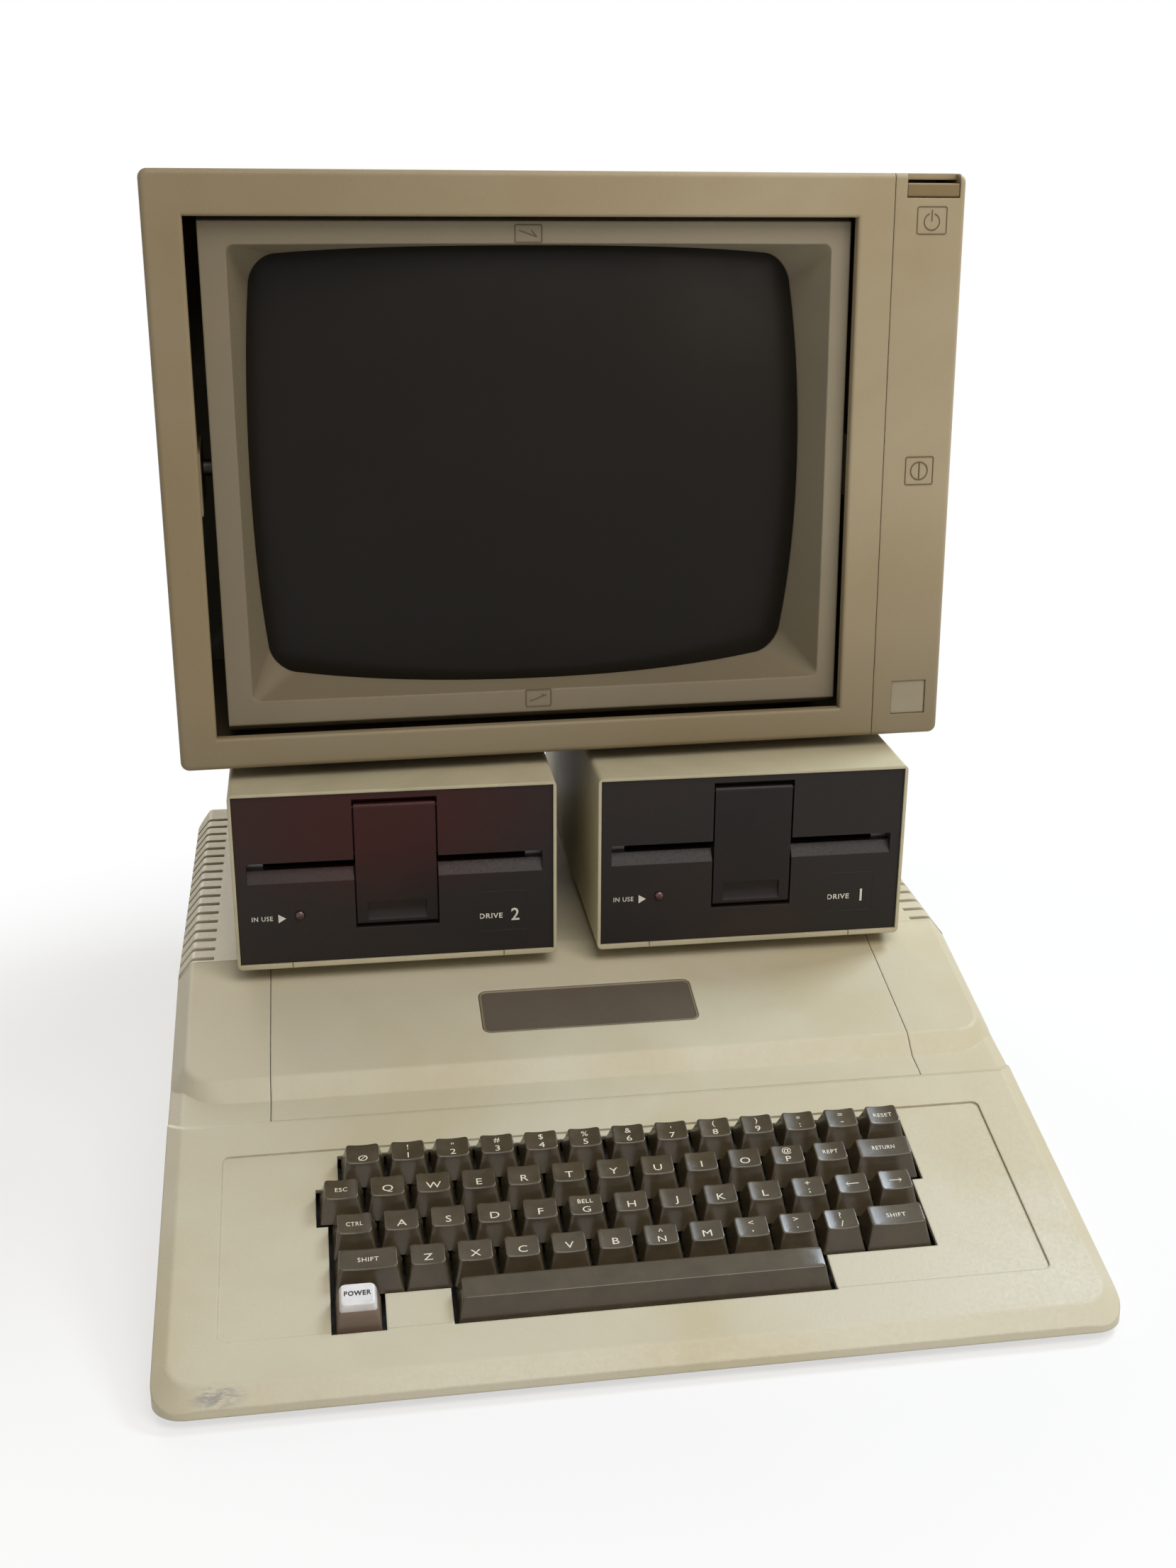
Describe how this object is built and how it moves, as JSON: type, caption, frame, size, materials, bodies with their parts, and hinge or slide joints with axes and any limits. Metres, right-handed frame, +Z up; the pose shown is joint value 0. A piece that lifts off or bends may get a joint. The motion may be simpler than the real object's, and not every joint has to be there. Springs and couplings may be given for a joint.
{
  "type": "home computer",
  "caption": "Home computer with a built-in keyboard, two floppy disk drives side by side on its lid and a tilting-screen monitor standing on the drives",
  "frame": {"origin": "centre of the set's footprint, on the desk", "axes": "X to the user's right, Y from the front to the back, Z up"},
  "size_m": [0.386, 0.5454, 0.4639],
  "materials": {
    "case_plastic": "fine_texture",
    "monitor_plastic": "fine_texture",
    "key_plastic": "satin",
    "drive_black": "textured",
    "drive_steel": "fine_texture",
    "screen_glass": "gloss",
    "brown_plastic": "satin",
    "white_cap": "gloss",
    "red_lamp": "gloss",
    "foot_rubber": "matte",
    "circuit_board": "satin",
    "bare_steel": "brushed"
  },
  "bodies": {
    "set": {"upper_case": "case_plastic", "top_lid": "case_plastic", "nameplate": "brown_plastic", "base_pan": "case_plastic", "base_screws": "bare_steel", "rubber_feet": "foot_rubber", "main_board": "circuit_board", "expansion_slots": "drive_black", "power_supply": "bare_steel", "power_inlet": "drive_black", "rocker_frame": "drive_black", "rear_jacks": "drive_black", "speaker": "drive_black", "keyboard_board": "circuit_board", "key_switches": "drive_black", "power_lamp_base": "brown_plastic", "power_lamp_cap": "white_cap", "left_drive_cover": "drive_steel", "left_drive_base": "bare_steel", "left_drive_bezel": "drive_black", "left_drive_lamp": "red_lamp", "left_drive_chassis": "bare_steel", "right_drive_cover": "drive_steel", "right_drive_base": "bare_steel", "right_drive_bezel": "drive_black", "right_drive_lamp": "red_lamp", "right_drive_chassis": "bare_steel", "drive_feet": "foot_rubber", "monitor_case": "monitor_plastic", "monitor_back": "monitor_plastic", "control_panel": "monitor_plastic", "badge_plate": "monitor_plastic", "contrast_control": "drive_black", "tilt_pins": "bare_steel", "monitor_board": "circuit_board", "monitor_feet": "foot_rubber"},
    "number_keys": {"number_keys": "key_plastic"},
    "upper_letter_keys": {"upper_letter_keys": "key_plastic"},
    "home_letter_keys": {"home_letter_keys": "key_plastic"},
    "lower_letter_keys": {"lower_letter_keys": "key_plastic"},
    "reset_key": {"reset_key": "key_plastic"},
    "escape_key": {"escape_key": "key_plastic"},
    "repeat_key": {"repeat_key": "key_plastic"},
    "return_key": {"return_key": "key_plastic"},
    "control_key": {"control_key": "key_plastic"},
    "left_arrow_key": {"left_arrow_key": "key_plastic"},
    "right_arrow_key": {"right_arrow_key": "key_plastic"},
    "left_shift_key": {"left_shift_key": "key_plastic"},
    "right_shift_key": {"right_shift_key": "key_plastic"},
    "space_bar": {"space_bar": "key_plastic"},
    "power_rocker": {"power_rocker": "drive_black"},
    "left_door": {"left_drive_door": "drive_black"},
    "right_door": {"right_drive_door": "drive_black"},
    "left_hub": {"left_drive_hub": "bare_steel"},
    "right_hub": {"right_drive_hub": "bare_steel"},
    "screen": {"screen_bezel": "monitor_plastic", "picture_tube": "screen_glass", "tube_yoke": "brown_plastic"},
    "monitor_button": {"monitor_power_button": "monitor_plastic"},
    "contrast_wheel": {"contrast_wheel": "monitor_plastic"}
  },
  "joints": [
    {"name": "number_keys_press", "type": "slide", "parent": "set", "child": "number_keys", "axis": [0, 0.342, -0.9397], "range_m": [0, 0.004], "stiffness_N_per_m": 1440, "springref_m": -0.002},
    {"name": "upper_letter_keys_press", "type": "slide", "parent": "set", "child": "upper_letter_keys", "axis": [0, 0.342, -0.9397], "range_m": [0, 0.004], "stiffness_N_per_m": 1200, "springref_m": -0.002},
    {"name": "home_letter_keys_press", "type": "slide", "parent": "set", "child": "home_letter_keys", "axis": [0, 0.342, -0.9397], "range_m": [0, 0.004], "stiffness_N_per_m": 1200, "springref_m": -0.002},
    {"name": "lower_letter_keys_press", "type": "slide", "parent": "set", "child": "lower_letter_keys", "axis": [0, 0.342, -0.9397], "range_m": [0, 0.004], "stiffness_N_per_m": 1200, "springref_m": -0.002},
    {"name": "reset_key_press", "type": "slide", "parent": "set", "child": "reset_key", "axis": [0, 0.342, -0.9397], "range_m": [0, 0.004], "stiffness_N_per_m": 120, "springref_m": -0.002},
    {"name": "escape_key_press", "type": "slide", "parent": "set", "child": "escape_key", "axis": [0, 0.342, -0.9397], "range_m": [0, 0.004], "stiffness_N_per_m": 120, "springref_m": -0.002},
    {"name": "repeat_key_press", "type": "slide", "parent": "set", "child": "repeat_key", "axis": [0, 0.342, -0.9397], "range_m": [0, 0.004], "stiffness_N_per_m": 120, "springref_m": -0.002},
    {"name": "return_key_press", "type": "slide", "parent": "set", "child": "return_key", "axis": [0, 0.342, -0.9397], "range_m": [0, 0.004], "stiffness_N_per_m": 120, "springref_m": -0.002},
    {"name": "control_key_press", "type": "slide", "parent": "set", "child": "control_key", "axis": [0, 0.342, -0.9397], "range_m": [0, 0.004], "stiffness_N_per_m": 120, "springref_m": -0.002},
    {"name": "left_arrow_key_press", "type": "slide", "parent": "set", "child": "left_arrow_key", "axis": [0, 0.342, -0.9397], "range_m": [0, 0.004], "stiffness_N_per_m": 120, "springref_m": -0.002},
    {"name": "right_arrow_key_press", "type": "slide", "parent": "set", "child": "right_arrow_key", "axis": [0, 0.342, -0.9397], "range_m": [0, 0.004], "stiffness_N_per_m": 120, "springref_m": -0.002},
    {"name": "left_shift_key_press", "type": "slide", "parent": "set", "child": "left_shift_key", "axis": [0, 0.342, -0.9397], "range_m": [0, 0.004], "stiffness_N_per_m": 120, "springref_m": -0.002},
    {"name": "right_shift_key_press", "type": "slide", "parent": "set", "child": "right_shift_key", "axis": [0, 0.342, -0.9397], "range_m": [0, 0.004], "stiffness_N_per_m": 120, "springref_m": -0.002},
    {"name": "space_bar_press", "type": "slide", "parent": "set", "child": "space_bar", "axis": [0, 0.342, -0.9397], "range_m": [0, 0.004], "stiffness_N_per_m": 250, "springref_m": -0.002},
    {"name": "rocker_tilt", "type": "hinge", "parent": "set", "child": "power_rocker", "pos_m": [-0.114, 0.17106, 0.034], "axis": [1, 0, 0], "range_deg": [-8, 8]},
    {"name": "left_door_lift", "type": "hinge", "parent": "set", "child": "left_door", "pos_m": [-0.087, -0.05011, 0.17487], "axis": [-1, 0, 0], "range_deg": [0, 75]},
    {"name": "left_hub_spin", "type": "hinge", "parent": "set", "child": "left_hub", "pos_m": [-0.087, 0.04943, 0.14433], "axis": [0, -0.0872, 0.9962], "continuous": true},
    {"name": "right_door_lift", "type": "hinge", "parent": "set", "child": "right_door", "pos_m": [0.0855, -0.05011, 0.17487], "axis": [-1, 0, 0], "range_deg": [0, 75]},
    {"name": "right_hub_spin", "type": "hinge", "parent": "set", "child": "right_hub", "pos_m": [0.0855, 0.04943, 0.14433], "axis": [0, -0.0872, 0.9962], "continuous": true},
    {"name": "screen_tilt", "type": "hinge", "parent": "set", "child": "screen", "pos_m": [-0.00188, 0.02519, 0.32642], "axis": [-0.9994, -0.0339, -0.003], "range_deg": [-5, 5]},
    {"name": "monitor_button_press", "type": "slide", "parent": "set", "child": "monitor_button", "axis": [-0.034, 0.9987, 0.0383], "range_m": [0, 0.004], "stiffness_N_per_m": 400, "springref_m": -0.002},
    {"name": "contrast_turn", "type": "hinge", "parent": "set", "child": "contrast_wheel", "pos_m": [0.17233, -0.01034, 0.32571], "axis": [0, -0.0872, 0.9962], "range_deg": [-135, 135]}
  ]
}
